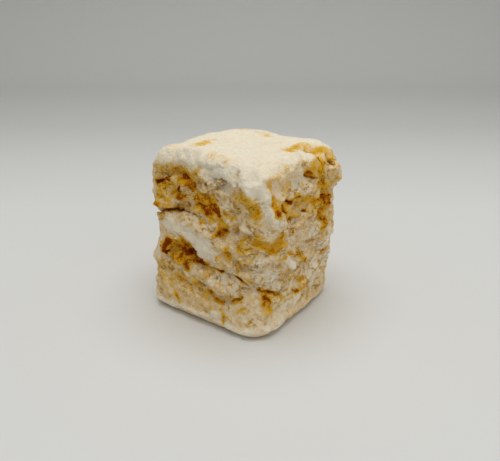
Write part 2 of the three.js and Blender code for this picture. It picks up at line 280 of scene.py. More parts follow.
# Caramel: half width, strength, from 0.15, a faint tint, to 1 and over, nearly burnt, path
CARAMEL = on("front", [
    # upper half
    (1.4, 0.42, -10.5, 31.5, -8.1, 32.1, -6.7, 31.4),
    (0.5, 0.95, -12.6, 32.2, -10.2, 32.7, -8.6, 33),
    (0.4, 0.92, -4.6, 31.9, -5, 31.1, -6.4, 30.1),
    (1.2, 0.45, -10.8, 29.8, -9.3, 29.2),
    (0.5, 0.85, -8.4, 33.2, -6.7, 33.5),
    (1.1, 0.86, -3.8, 33.7, -2.2, 33.3, -1.2, 32.7),
    (1.2, 0.8, -5.8, 30.1, -4.4, 29.5),
    (0.6, 0.55, -8.9, 28.5, -7.6, 28.5),
    (1.4, 0.52, 0.8, 29.3, 1.8, 30.5),
    (1.1, 0.66, 2.8, 30.5, 4.7, 30.5),
    (1.2, 1.2, 2.4, 29, 4.5, 28.8, 5.7, 28.6),
    (1.2, 0.62, 2.2, 27.6, 4.1, 27.3, 5.1, 27.3),
    (1.3, 0.7, 6.5, 26.9, 7, 25.3, 6.7, 24),
    (0.6, 0.5, 8.9, 28.5, 10.8, 28.2),
    (0.5, 0.45, 0.4, 24.8, 2.6, 24.3),
    (0.8, 0.6, 5.7, 23.8, 7.5, 23.8),
    (0.6, 0.66, -10.4, 24.6, -8.1, 25.1, -6.2, 25.7),
    (0.9, 0.4, -3.4, 27.6),
    # the notch under the waist: caramel brown that partly stands for the shade under its overhang, painted
    # shade
    (0.8, 0.5, -13, 26.3, -8, 26.8),
    (1.5, 0.2, -12.4, 36, -9.9, 35.4, -7.9, 34.9),
    (1.6, 0.15, -12.6, 37.6, -8, 37.2, -3, 37),
    (1.2, 0.38, -6.4, 35, -2, 34.8, 0.8, 36),
    # the pit
    (1, 1, -8.4, 18, -9.1, 15.2),
    (2.2, 0.56, -8.2, 17, -6.5, 15.4, -3.5, 15.6),
    (1.3, 0.62, -5.4, 18.8, -7.2, 16.4, -4.7, 17.6),
    (1, 1.2, -4.9, 15.9, -3.4, 15.8, -2.4, 15.1),
    (1.3, 0.74, -7.2, 14.3, -5.6, 14),
    (0.8, 0.9, -3.9, 14, -3.3, 12.6),
    (0.6, 0.7, -2.9, 13.9, -2, 13.9),
    # lower half
    (0.4, 0.95, -1.7, 13.8, 0.5, 14.4),
    (0.4, 0.6, 0.5, 14.4, 2.2, 14.7, 5.3, 14.1),
    (0.5, 0.95, 5.2, 14.2, 6.6, 14),
    (0.5, 1.05, 10.9, 14, 12.3, 13.6),
    (1.1, 0.34, 2.7, 13.7, 4.1, 13.6),
    (1.2, 0.52, 9.1, 19.2, 8.4, 18.4),
    (1.5, 0.34, 13.6, 21.9),
    (0.9, 0.4, 8.7, 21.2),
    (0.9, 0.4, 13.7, 23.2),
    (0.7, 0.4, 5.6, 16.3, 7.2, 18.2, 7.7, 17.4),
    (0.6, 0.48, 2.1, 8.3, 4.3, 8.3),
    (0.4, 0.8, 5.4, 7.8, 7.4, 7.3),
    (0.5, 0.85, 9.8, 8, 11.1, 8.5, 12.7, 9.8),
    (0.4, 0.52, 12.2, 6.6, 13.4, 7.6),
    (0.6, 0.58, -7.1, 5.2, -5.8, 4.3),
    (0.5, 0.5, -5.7, 3),
    (0.5, 0.72, -4.1, 10),
    (0.5, 0.5, -6.7, 9.2, -4.9, 8.4),
    (0.9, 0.42, -1.1, 9.5, -0.1, 9.6),
    (0.35, 0.62, 7.2, 6, 8, 4.2, 7.7, 2.5),
    # the smear under the drip
    (1.2, 0.5, 16, 24.6),
    (0.7, 0.6, 15.5, 23.3),
    # by the drip
    (1.4, 0.34, 12.6, 32.4, 15, 32, 16.4, 31),
    (0.4, 0.4, 11.4, 37.2, 11.8, 35.4, 12.2, 34),
]) + on("right", [
    # the smear under the drip
    (1.4, 0.54, -15, 24, -13.6, 22.8, -12, 22.2, -10, 22.3, -8, 22.8),
    (0.4, 0.6, -14.8, 23.2, -13.9, 22.2, -12.6, 21.4, -10.6, 21.2, -8.6, 21.7),
    (0.35, 0.66, -14.1, 23.4, -13.2, 22.7),
    (0.4, 0.6, -9.6, 22.7, -7.6, 23.6),
    # upper half
    (0.6, 0.42, -13.4, 35.9, -13.5, 34.9),
    (0.6, 0.58, -13.4, 33.9, -12.8, 32.9),
    (1, 0.78, -12.8, 32.4, -12.5, 30.9, -11.9, 30.2),
    (1.4, 0.22, -8.6, 29.8, -7.6, 28.8, -5, 27),
    (0.3, 0.6, -9.3, 30.1, -8.8, 28.6, -6.9, 26.2),
    (0.35, 0.9, -9, 31, -7.3, 31.3, -3.4, 31.4),
    (0.5, 0.66, -7.5, 26, -6.2, 25.8, -2.8, 26.2, -0.7, 26.3),
    (0.5, 0.88, -5.5, 25.4, -5.3, 24.4),
    (1.1, 0.4, -3.6, 31, -1.1, 30.6, 2.2, 28),
    (0.7, 0.5, 1.6, 28.3, 3.6, 28.6),
    (1.8, 0.46, 4.8, 37, 3.6, 35.8, 2.4, 36),
    (0.5, 0.78, 0.3, 35.6, 1.4, 34.4, 2.8, 33.8),
    (0.4, 0.84, 6.2, 36.8, 5.3, 35.3, 3.9, 34),
    (0.4, 0.8, 9.5, 36.8, 9.9, 36, 11, 35.2),
    (0.9, 0.44, 6.9, 36.7, 6, 34.8, 5.3, 32.5),
    (1.2, 0.33, 11.4, 36.6),
    (1.4, 0.66, 6.8, 31.6, 7.9, 30.2, 7.3, 28.9),
    (0.4, 0.85, 8.3, 28.5, 9.6, 28),
    (1.6, 0.7, 9, 27.4, 10, 25.6),
    (1.3, 0.85, 7.6, 22.6, 8.7, 21.4, 7.9, 20.5),
    (1.1, 0.55, 8.6, 24),
    # lower half
    (0.5, 0.72, -7.2, 18, -6.7, 17.4),
    (0.7, 0.5, -5.7, 18.4),
    (0.8, 0.55, -1, 16.7, 0, 15.6),
    (0.9, 0.38, -2.3, 18.5, -0.9, 18.6),
    (0.8, 0.58, -0.4, 9.9, 1, 8.9),
    (0.9, 0.45, -0.3, 7.5, 1.2, 7.3),
    (0.6, 0.84, -1.9, 6.9, -0.9, 7.1),
    (0.5, 0.58, -8.4, 9.6, -8.4, 8),
    (1.7, 0.95, -12.9, 9.2, -12.1, 8.2, -12.4, 7),
    (0.4, 0.75, -14, 11.8, -11.6, 10.6, -8.6, 9.6),
    (0.5, 0.7, 3.1, 3.2, 4.2, 3.9),
    (0.4, 0.6, 0.5, 1.6),
    (0.6, 0.55, 9.2, 13.6, 11, 15.8),
    (0.5, 0.48, 6.9, 11.4, 5, 8.4, 3.4, 6.4),
]) + on("top", [
    (1.7, 0.54, 13.9, -0.3, 13.6, 4.3, 13.8, 6.6, 15.2, 6.6),
    (0.4, 0.8, 14.8, 5.8, 16, 6.5),
    (1.5, 0.4, 16, 7.8, 16.2, 10.4),
    (1.5, 0.46, -4.5, -10.6, -4.8, -7.7, -5.1, -4.6),
    (0.9, 0.36, -7.6, 6.9, -3.8, 8.4, 2.2, 8.9),
    (2, 0.25, 0, 9.8),
    (1.5, 0.27, 3.5, -13.8, 8.6, -14),
    (1.2, 0.25, -9, -12.6, -5.5, -12.9),
    (0.6, 0.25, 14.1, -11.6, 15, -9.8, 16.2, -8.3),
]) + on("left", [
    # the sides that look away
    (1.3, 0.62, -9, 25.4, -3, 25),
    (1.4, 0.7, 4, 27.6, 9, 26.4),
    (1.6, 0.7, -4, 13, 2, 15.2),
    (0.9, 0.95, -1.6, 14, 0.6, 14.4),
    (1.2, 0.6, -6, 33, 2, 32.6),
    (1.5, 0.62, 9, 12, 11, 10),
    (1.4, 0.5, -10, 6.5),
    (1.4, 0.5, 11, 34),
    (1.3, 0.55, -11, 18),
    (0.9, 0.5, 2, 7, 4, 6.4),
]) + on("back", [
    (1.4, 0.66, -10, 26.8, -4, 27.2),
    (1.3, 0.6, 6, 27, 10, 28.6),
    (1.3, 0.7, -6, 14, 1, 16.2, 5, 15.4),
    (0.8, 0.95, -1.4, 15.4, 0.4, 15.8),
    (1.1, 0.55, -8, 34, -2, 34),
    (1.5, 0.68, 10, 20, 11, 17.5),
    (1.1, 0.55, 2, 8.6, 7, 9),
    (1.4, 0.62, -11, 6),
])

# Broad tan grounds: half width, strength, path
GROUND = on("front", [
    (4, 0.11, -9, 32, -6, 29, 2, 29),
    (2, 0.2, -11, 27, -11, 31),
    (1.6, 0.12, -12.5, 35.6, -6, 35.4),
    (2.6, 0.18, 12, 32.5, 15.5, 31.5, 15, 29),
    (3.6, 0.2, -9, 9, -4, 5, 5, 5.4),
    (3, 0.12, 8, 20, 14, 20),
]) + on("right", [
    (1.8, 0.16, -12, 35, -8, 34.6, -2, 34),
    (3.4, 0.16, -7, 29, -2, 28, 4, 30),
    (2.4, 0.18, 8.5, 32, 9, 27, 8, 21),
    (3, 0.1, -12, 23, -9, 23),
]) + on("left", [
    (5, 0.14, -10, 28, 8, 30),
    (4, 0.14, -8, 8, 8, 6),
]) + on("back", [
    (5, 0.14, -10, 30, 8, 30),
    (4, 0.14, -8, 7, 8, 6),
])

# Smooth white skin: half width, strength, path
WHITE = on("front", [
    (1.9, 0.95, -7.5, 22.3, -4, 22.2, 0, 21, 3.2, 19.8),
    (2.4, 1, 0.8, 18.6, 3.8, 18.2),
    (1.7, 0.9, 1.4, 16.8, 3.6, 16.6),
    (1.2, 0.9, 2, 15.7, 3.6, 15.5),
    (1.8, 0.55, -10.5, 21.2),
    (0.9, 0.5, -11.4, 18.6, -11.9, 14),
    (1.5, 1, 13.7, 37.4, 15.7, 36.8, 16.3, 35.4, 17.2, 34),
    (1.1, 0.9, 6.6, 4.4),
]) + on("right", [
    (1, 1, -15.6, 35, -14.9, 33.2, -14.1, 31.2),
    (1.3, 0.6, -13.2, 28.4, -11.4, 26.8),
    (1.1, 0.9, -6, 16.8, -6.2, 15.6),
    (0.8, 0.8, 2.3, 37.9),
]) + on("top", [
    (1.5, 1, 16.9, -11.3, 16.7, -8.2, 16.4, -4.8, 16.7, -2, 17.1, -0.2),
]) + on("left", [
    (4, 0.9, 6, 20),
]) + on("back", [
    (3.4, 0.9, -8, 20.5, -3, 22),
])

# Sugar dust and pale crumbs: half width, strength, path
POWDER = on("front", [
    (1.5, 0.6, 4.9, 36.8, 8.8, 36.2, 11.6, 35.4),
    (1.3, 0.35, 8.1, 34.8),
    (1.8, 0.3, 5.7, 12.9, 8.7, 12.7, 10.9, 11.7),
    (2.2, 0.5, 15.6, 17.3),
    # a pale band along the base edge: partly cream, partly a painted highlight on the lip
    (0.8, 0.75, -13, 2.4, 0, 2.3, 15, 2.4),
    (1.3, 0.6, 10.5, 1.4, 15.6, 1.6),
]) + on("right", [
    # a pale band along the base edge: partly cream, partly a painted highlight on the lip
    (1.1, 0.55, -15.4, 1.7, -10.6, 2.4, -7, 2.6),
    (2.2, 0.5, -14.2, 15.6, -11.2, 13.2, -10.5, 14.8),
    (1.6, 0.5, -3.6, 34, -0.6, 31.9),
    (2.2, 0.35, -2.2, 22.3, -1.3, 19),
    (2.2, 0.35, 2.6, 20.5),
    (1.6, 0.1, 11.8, 28.4, 11.8, 30.5),
    (0.9, 0.85, *PALE_BAND),
    (1, 0.55, *LOWER_BAND),
    (1.8, 0.35, -5.9, 4.4, -8, 3.6),
]) + on("left", [
    (2.2, 0.4, -8, 10, 0, 20),
]) + on("back", [
    (2.2, 0.4, 8, 12, 12, 24),
])

# Smoother beige, where the crumbs fade out: half width, strength, path
SMOOTH = on("front", [
    (2.6, 0.6, -9, 7, -5, 4, 3, 5.4, 9, 3),
]) + on("right", [
    (2.2, 0.3, -8, 2.4, 4, 2),
    (1.8, 0.6, -11.5, 36.7, -4.6, 35.6),
    (1.3, 0.3, -14, 23.2, -12, 22.2, -9, 22.6),
    (2.2, 0.7, 3.4, 35.9),
]) + on("left", [
    (3, 0.6, -6, 4, 8, 5),
]) + on("back", [
    (3, 0.6, -8, 4, 9, 4),
])

# Which two coordinates lie across each face, and which way the face looks
FACES = {
    "front": ((0, 2), (0, -1, 0)),
    "right": ((1, 2), (1, 0, 0)),
    "back": ((0, 2), (0, 1, 0)),
    "left": ((1, 2), (-1, 0, 0)),
    "top": ((0, 1), (0, 0, 1)),
}


def smoothstep(value, low, high):
    share = np.clip((value - low) / (high - low), 0, 1)
    return share * share * (3 - 2 * share)


def solid_arrays(node):
    """The solid's points from the middle of its base, its triangles, and that middle."""
    mesh = node.data
    places = np.empty(len(mesh.vertices) * 3, np.float32)
    mesh.vertices.foreach_get("co", places)
    mesh.calc_loop_triangles()
    corners = np.empty(len(mesh.loop_triangles) * 3, np.int32)
    mesh.loop_triangles.foreach_get("vertices", corners)
    places = places.reshape(-1, 3) / MM
    base = places[places[:, 2] < places[:, 2].min() + 0.01]
    foot = np.append((base[:, :2].min(0) + base[:, :2].max(0)) / 2, 0)
    return places - foot, corners.reshape(-1, 3), foot


# Noise

class Grid:
    """A box of points a step apart."""

    def __init__(self, low, high):
        self.start = np.floor(np.asarray(low) / STEP).astype(int)
        self.shape = np.ceil(np.asarray(high) / STEP).astype(int) - self.start
        self.axes = [(first + np.arange(count)) * STEP for first, count in zip(self.start, self.shape)]

    def line(self, axis, block):
        """The coordinates of a part of the grid along one axis, shaped to spread over that part."""
        shape = [1, 1, 1]
        shape[axis] = -1
        return self.axes[axis][block[axis]].reshape(shape)

    def sample(self, field, places):
        """The field's values at any places, between its points."""
        index = np.clip(places / STEP - self.start, 0, self.shape - 1.001)
        whole = index.astype(int)
        return between_corners(field, whole, index - whole)


def between_corners(values, whole, part):
    """Values between the eight points round each place, by the place's part of the way along each axis."""
    total = 0
    for corner in np.ndindex(2, 2, 2):
        share = np.prod(np.where(corner, part, 1 - part), axis=1)
        total = total + share * values[tuple((whole + corner).T)]
    return total


def spline_weights(places, count):
    """How much each of a row of values counts at each place: cubic B-splines."""
    away = np.abs(places[:, None] - np.arange(count)[None, :])
    near = 2 / 3 - away**2 + away**3 / 2
    far = (2 - away).clip(0) ** 3 / 6
    return np.where(away < 1, near, far)


def grid_noise(spacing):
    """Smooth noise all over the grid, with a spread of 1, from random values a spacing apart."""
    spacing = np.broadcast_to(spacing, 3)
    sizes = [int(np.ptp(axis) / gap) + 5 for axis, gap in zip(grid.axes, spacing)]
    values = rng.standard_normal(sizes)
    for k, (axis, gap) in enumerate(zip(grid.axes, spacing)):
        weights = spline_weights((axis - axis[0]) / gap + 1.5, sizes[k])
        values = np.moveaxis(np.tensordot(weights, values, (1, k)), 0, k)
    return (values / values.std()).astype(np.float32)


def layered_noise(*layers):
    """Grid noise of several spacings put together, each with its own size."""
    return sum(size * grid_noise(spacing) for spacing, size in layers)


def lattice_noise(rng, places, spacing):
    """Smooth noise at any places, with a spread of about 1, from random values a spacing apart."""
    scaled = places / np.asarray(spacing)
    whole = np.floor(scaled).astype(int)
    part = scaled - whole
    part = part * part * (3 - 2 * part)
    whole -= whole.min(0)
    values = rng.standard_normal(whole.max(0) + 2).astype(np.float32)
    return 1.56 * between_corners(values, whole, part)


def terraces(value, edge):
    """Rounds a slope to steps of 1, with an edge of this share of a step between them."""
    whole = np.floor(value)
    return whole + smoothstep(value - whole, 0.5 - edge / 2, 0.5 + edge / 2)


def cell_noise(places, spacing):
    """Voronoi cells round a jittered set of seeds a spacing apart.

    Gives how much farther the second seed is than the nearest, in spacings, and a random value of the nearest.
    """
    table = rng.random((4096, 4)).astype(np.float32)
    scaled = (places / np.asarray(spacing)).astype(np.float32)
    cell = np.floor(scaled).astype(np.int64)
    first = np.full(len(places), 9, np.float32)
    second = np.full(len(places), 9, np.float32)
    value = np.zeros(len(places), np.float32)
    for offset in np.ndindex(3, 3, 3):
        here = cell + np.array(offset) - 1
        pick = table[(here[:, 0] * 73 + here[:, 1] * 919 + here[:, 2] * 3571) % len(table)]
        away = np.sqrt(((here + pick[:, :3] - scaled) ** 2).sum(1))
        closer = away < first
        second = np.where(closer, first, np.minimum(second, away))
        first = np.where(closer, away, first)
        value = np.where(closer, pick[:, 3], value)
    return second - first, value


# Strokes across the faces

def path_distance(u, v, path):
    """Distance in a face's plane from (u, v) to the nearest point of a path."""
    if len(path) == 1:
        return np.hypot(u - path[0][0], v - path[0][1])
    nearest = np.inf
    for (u0, v0), (u1, v1) in zip(path, path[1:]):
        du, dv = u1 - u0, v1 - v0
        share = np.clip(((u - u0) * du + (v - v0) * dv) / (du * du + dv * dv), 0, 1)
        nearest = np.minimum(nearest, np.hypot(u - u0 - share * du, v - v0 - share * dv))
    return nearest


def bell(distance, half_width):
    return np.exp(-((distance / half_width) ** 2))


def stroke_block(face, path, reach, depth):
    """The part of the grid round a stroke: as slices."""
    across, outwards = FACES[face]
    slices = []
    for axis in range(3):
        if axis in across:
            along = [place[across.index(axis)] for place in path]
            low, high = min(along) - reach, max(along) + reach
        else:
            edge = BLOCK_HIGH[axis] if outwards[axis] > 0 else BLOCK_LOW[axis]
            low, high = sorted((edge + MARGIN * outwards[axis], edge - depth * outwards[axis]))
        slices.append(slice(*np.searchsorted(grid.axes[axis], (low, high))))
    return tuple(slices)


def block_distance(block, face, path):
    """Distance from a path all over a part of the grid, with wavering edges."""
    u, v = [grid.line(axis, block) + warp[axis][block] for axis in FACES[face][0]]
    return path_distance(u, v, path)


def facing_share(block, face):
    """How far the smooth block faces the way of a face, all over a part of the grid."""
    _, outwards = FACES[face]
    return smoothstep(sum(slope[block] * way for slope, way in zip(slopes, outwards)), *RELIEF_FACING)


def stroke_sum(places, normals, strokes):
    """The strongest of the strokes at each place: full along a stroke, and fading out across its edge.

    A stroke counts by how far the smooth block at the place faces the stroke's face.
    """
    total = np.zeros(len(places))
    for face, path, half_width, strength in strokes:
        across, outwards = FACES[face]
        facing = smoothstep(normals @ np.array(outwards, float), *PAINT_FACING)
        distance = path_distance(places[:, across[0]], places[:, across[1]], path)
        cover = 1 - smoothstep(distance / half_width, *PAINT_EDGE)
        total = np.maximum(total, strength * facing * cover)
    return total


# Shape

def blur(field, spread):
    """A soft filter over the grid, spread in millimetres."""
    reach = int(np.ceil(3 * spread / STEP))
    offsets = np.arange(-reach, reach + 1)
    kernel = np.exp(-((offsets * STEP / spread) ** 2) / 2)
    kernel /= kernel.sum()
    for axis in range(3):
        padded = np.pad(field, [(reach, reach) if k == axis else (0, 0) for k in range(3)], mode="edge")
        windows = [np.take(padded, range(o + reach, o + reach + field.shape[axis]), axis) for o in offsets]
        field = sum(weight * window for weight, window in zip(kernel, windows))
    return field


def solid_distance(places, triangles):
    """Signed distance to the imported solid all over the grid, with its facets smoothed."""
    level = openvdb.FloatGrid.createLevelSetFromPolygons(
        places.astype(np.float64),
        triangles=triangles.astype(np.uint32),
        transform=openvdb.createLinearTransform(STEP),
        halfWidth=BAND,
    )
    field = np.zeros(grid.shape, np.float32)
    level.copyToArray(field, ijk=tuple(int(k) for k in grid.start))
    return blur(field, FACET_BLUR).astype(np.float32)


def carve(field):
    """Cuts the cracks into the block."""
    for face, path, half_width, depth in CRACKS:
        block = stroke_block(face, path, 3 * half_width + 1, depth + CRACK_REACH)
        below = -smooth[block]
        taper = np.sqrt(np.clip(1 - below / depth, 0, 1))
        opening = block_distance(block, face, path) - half_width * taper
        opening = np.where(below > depth, np.maximum(opening, below - depth), opening)
        field[block] = np.maximum(field[block], -opening)


def round_base(field, formed, waves):
    """Rounds the edge that the block stands on, and cuts it off level."""
    heights = grid.axes[2]
    side = formed[:, :, np.searchsorted(heights, BASE_SIDE_HEIGHT)]
    for k, height in enumerate(heights):
        if 0 <= height < BASE_ROUND:
            inset = BASE_INSET * (1 - math.sqrt(1 - (1 - height / BASE_ROUND) ** 2))
            field[:, :, k] = np.maximum(field[:, :, k], side + inset + BASE_WAVE * waves[:, :, k])
        field[:, :, k] = np.maximum(field[:, :, k], -height)


def surface_nets(field):
    """Quads along the zero level of the field, with their corners facing out."""
    inside = field < 0
    cells = tuple(n - 1 for n in field.shape)
    count = np.zeros(cells, np.int8)
    for corner in np.ndindex(2, 2, 2):
        count += inside[tuple(slice(c, c + n) for c, n in zip(corner, cells))]
    mixed = (count > 0) & (count < 8)
    number = np.full(cells, -1, np.int64)
    number[mixed] = np.arange(mixed.sum())
    cell = np.argwhere(mixed)

    total = np.zeros((len(cell), 3))
    hits = np.zeros(len(cell))
    quads = []
    for axis in range(3):
        step = np.eye(3, dtype=int)[axis]
        for side in np.ndindex(2, 2):
            offset = np.insert(side, axis, 0)
            first = field[tuple((cell + offset).T)]
            last = field[tuple((cell + offset + step).T)]
            crosses = (first < 0) != (last < 0)
            share = first[crosses] / (first[crosses] - last[crosses])
            total[crosses] += offset + share[:, None] * step
            hits[crosses] += 1
        ahead = np.moveaxis(inside, axis, 0)
        edge = np.argwhere(ahead[:-1, 1:-1, 1:-1] != ahead[1:, 1:-1, 1:-1])
        lead = np.moveaxis(number, axis, 0)
        around = [(1, 1), (0, 1), (0, 0), (1, 0)]
        quad = np.stack([lead[edge[:, 0], edge[:, 1] + a, edge[:, 2] + b] for a, b in around], 1)
        leaving = ahead[edge[:, 0], edge[:, 1] + 1, edge[:, 2] + 1]
        turned = leaving if axis != 1 else ~leaving
        quad[turned] = quad[turned][:, ::-1]
        quads.append(quad)
    places = (cell + total / hits[:, None] + grid.start) * STEP
    return places, np.concatenate(quads)


def largest_piece(places, quads):
    """Drops the loose scraps that cutting leaves."""
    label = np.arange(len(places))
    edges = np.concatenate([quads[:, [0, 1]], quads[:, [1, 2]], quads[:, [2, 3]]])
    while True:
        before = label.copy()
        low = np.minimum(label[edges[:, 0]], label[edges[:, 1]])
        np.minimum.at(label, edges[:, 0], low)
        np.minimum.at(label, edges[:, 1], low)
        label = label[label]
        if np.array_equal(label, before):
            break
    kept = label == np.bincount(label).argmax()
    renumber = np.cumsum(kept) - 1
    return places[kept], renumber[quads[kept[quads].all(1)]]


def unit(vectors):
    return vectors / np.linalg.norm(vectors, axis=1, keepdims=True)


def gathered(index, values, count):
    """Sums of rows of three values by an index."""
    return np.stack([np.bincount(index, values[:, k], count) for k in range(3)], 1)


def vertex_normals(places, quads):
    face = np.cross(places[quads[:, 2]] - places[quads[:, 0]], places[quads[:, 3]] - places[quads[:, 1]])
    return unit(gathered(quads.ravel(), np.repeat(face, 4, axis=0), len(places)))


def hollowness(places, quads, normals, rounds):
    """How far each corner lies below its neighbours, after some rounds of smoothing, in millimetres."""
    edges = np.concatenate([quads[:, [0, 1]], quads[:, [1, 2]], quads[:, [2, 3]], quads[:, [3, 0]]])
    ends = np.concatenate([edges, edges[:, ::-1]])
    count = np.bincount(ends[:, 0], minlength=len(places))[:, None]
    level = places
    for _ in range(rounds):
        level = gathered(ends[:, 0], level[ends[:, 1]], len(places)) / count
    return ((level - places) * normals).sum(1)


# The smooth block and the noise that its relief and colours come from

rng = np.random.default_rng(SEED)
solid_places, solid_triangles, FOOT = solid_arrays(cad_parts["marshmallow"])
BLOCK_LOW, BLOCK_HIGH = solid_places.min(0), solid_places.max(0)
grid = Grid(BLOCK_LOW - MARGIN, BLOCK_HIGH + MARGIN)
smooth = solid_distance(solid_places, solid_triangles)
slopes = np.gradient(smooth, STEP)
warp = [layered_noise((2.4, 0.36), (1.1, 0.2)) for _ in range(3)]
marble = grid_noise((6, 6, 2.6))
bend = [layered_noise((2, 0.34), (0.9, 0.14)) for _ in range(3)]
patches = grid_noise(7)
seeps = grid_noise(4)
mottles = layered_noise((1.5, 0.7), (0.8, 0.7))
torn = layered_noise(((3.5, 3.5, 0.7), 0.09), (0.8, 0.08))
wide_fold = np.abs(grid_noise((2.6, 2.6, 2)))
small_fold = np.abs(grid_noise(1.2))


def at_points(fields, points):
    """Values of several fields at some of the grid's points, as columns."""
    return np.stack([field[points] for field in fields], 1)


def at_places(fields, places):
    """Values of several fields at any places, as columns."""
    return np.stack([grid.sample(field, places) for field in fields], 1)


def smooth_normals(places):
    return unit(at_places(slopes, places))


def zones(places, normals, warped):
    """What the block is like at each place: how far it looks up, its white skin and how crumbly it is."""
    front = np.clip(-1.4 * normals[:, 1], 0, 1)
    lean = normals[:, 2] - 0.15 * np.clip(normals[:, 0], 0, 1) + 0.2 * front
    cap = smoothstep(places[:, 2], *CAP)
    upwards = smoothstep(lean, 0.3, 0.85) * cap
    flat = smoothstep(normals[:, 2], 0.6, 0.95) * cap
    white = stroke_sum(warped, normals, WHITE)
    still = stroke_sum(warped, normals, SMOOTH)
    crumb = np.clip(1 - 0.6 * white - still - 0.75 * upwards - 0.2 * flat, 0, 1)
    # the back right and front left edges are worn smoother
    crumb *= 1 - 0.5 * smoothstep(normals[:, 0] * normals[:, 1], 0.15, 0.4)
    crumb *= smoothstep(places[:, 2], *FOOT_FADE)
    return upwards, white, crumb


def pillow(gap):
    """The rounded height of a cell, from its border to its middle."""
    return 1 - (1 - np.clip(gap / 0.9, 0, 1)) ** 2


def crumb_height(gap, value, crumbs):
    """Height of crumbs: a dome each, on a level of its own."""
    _, dome, level = crumbs
    return dome * (pillow(gap) - MEAN_DOME) + level * (value - 0.5)


def seam(gap):
    """A thin line along the borders of cells or the bottoms of folds."""
    return 1 - smoothstep(gap, 0, SEAM_WIDTH)


def roughness_share(patch):
    """How craggy the crumbs are: nearly smooth in some patches, deeply torn in others."""
    return np.clip(0.7 + 0.4 * patch, 0.2, 1.3)


def surface_place(face, place):
    """The place on the smooth block that lies straight behind a point of a face."""
    across, outwards = FACES[face]
    normal_axis = ({0, 1, 2} - set(across)).pop()
    line = np.zeros((200, 3))
    line[:, across] = place
    outside = BLOCK_HIGH if sum(outwards) > 0 else BLOCK_LOW
    line[:, normal_axis] = np.linspace(outside[normal_axis] + 1, 0, len(line))
    return line[np.argmax(grid.sample(smooth, line) < 0)]


def ball(centre, radius, shift):
    """Signed distance to a warped ball, and the part of the grid round it."""
    low = np.floor((centre - radius) / STEP).astype(int) - grid.start - 4
    high = np.ceil((centre + radius) / STEP).astype(int) - grid.start + 5
    block = tuple(slice(max(a, 0), max(b, 0)) for a, b in zip(low, high))
    square = 0
    for axis in range(3):
        away = grid.line(axis, block) - centre[axis] + warp[axis][block] - shift[axis]
        square = square + away**2
    return np.sqrt(square) - radius, block


def add_ball(field, tint, surface, normal, radius, rise, value):
    """Joins a ball to the block, sunk in so far that it rises by this much, with a crease round it."""
    shift = at_places(warp, surface[None])[0]
    distance, block = ball(surface - normal * (radius - rise), radius, shift)
    old = field[block]
    share = np.clip(0.5 + (old - distance) / (2 * CREASE), 0, 1)
    field[block] = old + (distance - old) * share - CREASE * share * (1 - share)
    tint[block] = np.where(share > 0.5, value, tint[block])


# The finished surface

field = smooth.copy()
tint = np.zeros_like(field)
for face, path, half_width, height in LIPS + HOLLOWS:
    block = stroke_block(face, path, 2.5 * half_width, STROKE_REACH)
    field[block] -= height * facing_share(block, face) * bell(block_distance(block, face, path), half_width)
formed = field.copy()
for face, *place, radius, rise, value in LOBES:
    surface = surface_place(face, place)
    add_ball(field, tint, surface, smooth_normals(surface[None])[0], radius, rise, value)

# crumbs, folds, flakes and pores on the sides, wrinkles on the top and furrows down the front rim
near = tuple(np.argwhere((smooth > RELIEF_BAND[0]) & (smooth < RELIEF_BAND[1])).T)
here = (np.stack(near, 1) + grid.start) * STEP
warped = here + at_points(warp, near)
bent = here + at_points(bend, near)
normals = unit(at_points(slopes, near))
upwards, _, crumb = zones(here, normals, warped)
large_gap, large_value = cell_noise(bent, LARGE_CRUMBS[0])
middle_gap, middle_value = cell_noise(bent, MIDDLE_CRUMBS[0])
leaning = bent.copy()
leaning[:, 2] += LEAN * (bent[:, 0] - bent[:, 1])
layers = lattice_noise(rng, leaning, (3.4, 3.4, 1.4)) + 0.5 * lattice_noise(rng, leaning, (1.4, 1.4, 0.7))
flake = terraces(1.3 * layers, 0.3)
pore = smoothstep(lattice_noise(rng, leaning, (1.1, 1.1, 0.6)), 1.2, 2)
rough = crumb * roughness_share(patches[near])
front_rim = smoothstep(-normals[:, 1], 0.2, 0.6) * smoothstep(here[:, 2], *FRONT_RIM)
height = crumb_height(large_gap, large_value, LARGE_CRUMBS)
height += crumb_height(middle_gap, middle_value, MIDDLE_CRUMBS)
wide, small = np.minimum(wide_fold[near], FOLD_TOP), np.minimum(small_fold[near], FOLD_TOP)
height += WIDE_FOLD * wide + SMALL_FOLD * small - FOLD_LEVEL
height += FLAKE * flake - PORE * pore
tears = torn[near] * (1 - 0.5 * upwards) * (1 - 0.5 * front_rim)
field[near] -= rough * height + tears + TOP_SWELL * upwards * patches[near]
turn = np.array([[VIEW_COSINE, -VIEW_SINE], [VIEW_SINE, VIEW_COSINE]])
across_top = np.column_stack([warped[:, :2] @ turn, warped[:, 2]])
wrinkle = lattice_noise(np.random.default_rng(SEED + 1), across_top, (7, 1.3, 5))
field[near] -= WRINKLE * upwards * wrinkle
furrow = lattice_noise(np.random.default_rng(SEED + 2), warped, (1.1, 3, 5))
field[near] -= FURROW * front_rim * furrow
traits = (large_value, large_gap, middle_value, middle_gap, layers, pore, wrinkle)
cells = np.zeros((len(traits),) + field.shape, np.float32)
for layer, values in zip(cells, traits):
    layer[near] = values

carve(field)
round_base(field, formed, patches)
places, quads = largest_piece(*surface_nets(field))
normals = vertex_normals(places, quads)
warped = places + at_places(warp, places)
face_normals = smooth_normals(places)
upwards, white, crumb = zones(places, face_normals, warped)
large_value, large_gap, middle_value, middle_gap, layers, pore, wrinkle = at_places(cells, places).T
fine_gap, fine_value = cell_noise(places, FINE_CRUMBS[0])
rough = crumb * roughness_share(grid.sample(patches, places))
places = places + normals * (rough * crumb_height(fine_gap, fine_value, FINE_CRUMBS))[:, None]
grit = rng.standard_normal(len(places)) * smoothstep(places[:, 2], 0.2, 1)
places = places + normals * ((GRIT - (GRIT - TOP_GRIT) * upwards) * grit)[:, None]
places[:, 2] = np.maximum(places[:, 2], 0)


# Colour attributes

